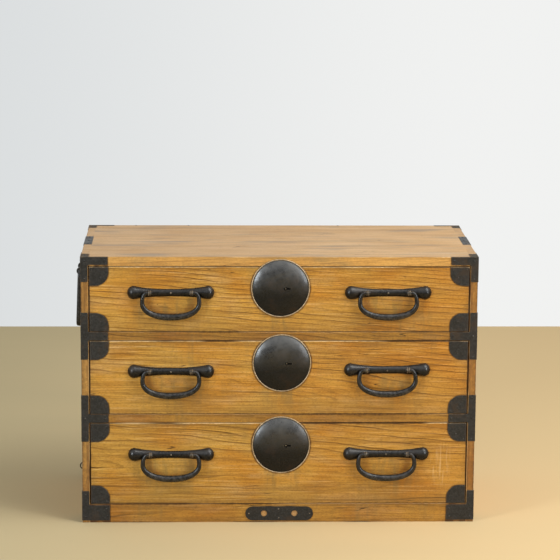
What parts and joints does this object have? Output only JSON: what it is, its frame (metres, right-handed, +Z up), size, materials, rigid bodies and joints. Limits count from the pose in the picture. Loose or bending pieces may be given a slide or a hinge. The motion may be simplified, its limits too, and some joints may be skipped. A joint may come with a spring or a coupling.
{
  "type": "isho clothing chest",
  "caption": "Low Japanese clothing chest: wide drawers with domed iron lock plates, hanging bail handles, corner irons and carrying handles on the sides.",
  "frame": {"origin": "centre of the carcass footprint, on the floor", "axes": "+X to the right along the front, +Y from the drawer fronts to the back, +Z up"},
  "size_m": [0.9402, 0.4625, 0.621],
  "materials": {
    "front_wood": "worn oil, honey brown",
    "carcass_wood": "worn oil, paler than the front",
    "inner_wood": "bare, pale",
    "plug_wood": "bare end grain",
    "iron": "blackened and worn",
    "plate_iron": "blackened, satin"
  },
  "bodies": {
    "carcass": {"top_board": "carcass_wood", "left_side_board": "carcass_wood", "right_side_board": "carcass_wood", "base_board": "inner_wood", "base_rail": "front_wood", "base_bearers": "inner_wood", "lower_rail": "front_wood", "upper_rail": "front_wood", "dust_boards": "inner_wood", "back_boards": "inner_wood", "drawer_stops": "inner_wood", "top_corner_irons": "iron", "bottom_corner_irons": "iron", "rear_corner_irons": "iron", "rail_t_irons": "iron", "base_plate": "iron", "base_plugs": "plug_wood", "carry_handle_plates": "iron", "carry_handle_eyes": "iron"},
    "left_carry_handle": {"left_carry_handle": "iron"},
    "right_carry_handle": {"right_carry_handle": "iron"},
    "bottom_drawer": {"bottom_drawer_front": "front_wood", "bottom_drawer_sides": "inner_wood", "bottom_drawer_back": "inner_wood", "bottom_drawer_bottom": "inner_wood", "bottom_drawer_corner_plates": "iron", "bottom_lock_plate": "plate_iron", "bottom_lock_case": "iron", "bottom_handle_bars": "iron", "bottom_handle_eyes": "iron"},
    "bottom_lock_bolt": {"bottom_lock_bolt": "iron"},
    "bottom_left_bail": {"bottom_left_bail": "iron"},
    "bottom_right_bail": {"bottom_right_bail": "iron"},
    "middle_drawer": {"middle_drawer_front": "front_wood", "middle_drawer_sides": "inner_wood", "middle_drawer_back": "inner_wood", "middle_drawer_bottom": "inner_wood", "middle_drawer_corner_plates": "iron", "middle_lock_plate": "plate_iron", "middle_lock_case": "iron", "middle_handle_bars": "iron", "middle_handle_eyes": "iron"},
    "middle_lock_bolt": {"middle_lock_bolt": "iron"},
    "middle_left_bail": {"middle_left_bail": "iron"},
    "middle_right_bail": {"middle_right_bail": "iron"},
    "top_drawer": {"top_drawer_front": "front_wood", "top_drawer_sides": "inner_wood", "top_drawer_back": "inner_wood", "top_drawer_bottom": "inner_wood", "top_drawer_corner_plates": "iron", "top_lock_plate": "plate_iron", "top_lock_case": "iron", "top_handle_bars": "iron", "top_handle_eyes": "iron"},
    "top_lock_bolt": {"top_lock_bolt": "iron"},
    "top_left_bail": {"top_left_bail": "iron"},
    "top_right_bail": {"top_right_bail": "iron"}
  },
  "joints": [
    {"name": "left_carry_handle_swing", "type": "hinge", "parent": "carcass", "child": "left_carry_handle", "pos_m": [-0.4601, 0, 0.5545], "axis": [0, 1, 0], "range_deg": [0, 178]},
    {"name": "right_carry_handle_swing", "type": "hinge", "parent": "carcass", "child": "right_carry_handle", "pos_m": [0.4601, 0, 0.5545], "axis": [0, -1, 0], "range_deg": [0, 178]},
    {"name": "bottom_drawer_slide", "type": "slide", "parent": "carcass", "child": "bottom_drawer", "axis": [0, -1, 0], "range_m": [0, 0.36]},
    {"name": "bottom_lock_bolt_lift", "type": "slide", "parent": "bottom_drawer", "child": "bottom_lock_bolt", "axis": [0, 0, 1], "range_m": [0, 0.008]},
    {"name": "bottom_left_bail_swing", "type": "hinge", "parent": "bottom_drawer", "child": "bottom_left_bail", "pos_m": [-0.2465, -0.2343, 0.163], "axis": [-1, 0, 0], "range_deg": [0, 115]},
    {"name": "bottom_right_bail_swing", "type": "hinge", "parent": "bottom_drawer", "child": "bottom_right_bail", "pos_m": [0.2465, -0.2343, 0.164], "axis": [-1, 0, 0], "range_deg": [0, 115]},
    {"name": "middle_drawer_slide", "type": "slide", "parent": "carcass", "child": "middle_drawer", "axis": [0, -1, 0], "range_m": [0, 0.36]},
    {"name": "middle_lock_bolt_lift", "type": "slide", "parent": "middle_drawer", "child": "middle_lock_bolt", "axis": [0, 0, 1], "range_m": [0, 0.008]},
    {"name": "middle_left_bail_swing", "type": "hinge", "parent": "middle_drawer", "child": "middle_left_bail", "pos_m": [-0.2465, -0.2343, 0.358], "axis": [-1, 0, 0], "range_deg": [0, 115]},
    {"name": "middle_right_bail_swing", "type": "hinge", "parent": "middle_drawer", "child": "middle_right_bail", "pos_m": [0.2465, -0.2343, 0.3615], "axis": [-1, 0, 0], "range_deg": [0, 115]},
    {"name": "top_drawer_slide", "type": "slide", "parent": "carcass", "child": "top_drawer", "axis": [0, -1, 0], "range_m": [0, 0.36]},
    {"name": "top_lock_bolt_lift", "type": "slide", "parent": "top_drawer", "child": "top_lock_bolt", "axis": [0, 0, 1], "range_m": [0, 0.008]},
    {"name": "top_left_bail_swing", "type": "hinge", "parent": "top_drawer", "child": "top_left_bail", "pos_m": [-0.2465, -0.2343, 0.5406], "axis": [-1, 0, 0], "range_deg": [0, 115]},
    {"name": "top_right_bail_swing", "type": "hinge", "parent": "top_drawer", "child": "top_right_bail", "pos_m": [0.2465, -0.2343, 0.5405], "axis": [-1, 0, 0], "range_deg": [0, 115]}
  ]
}
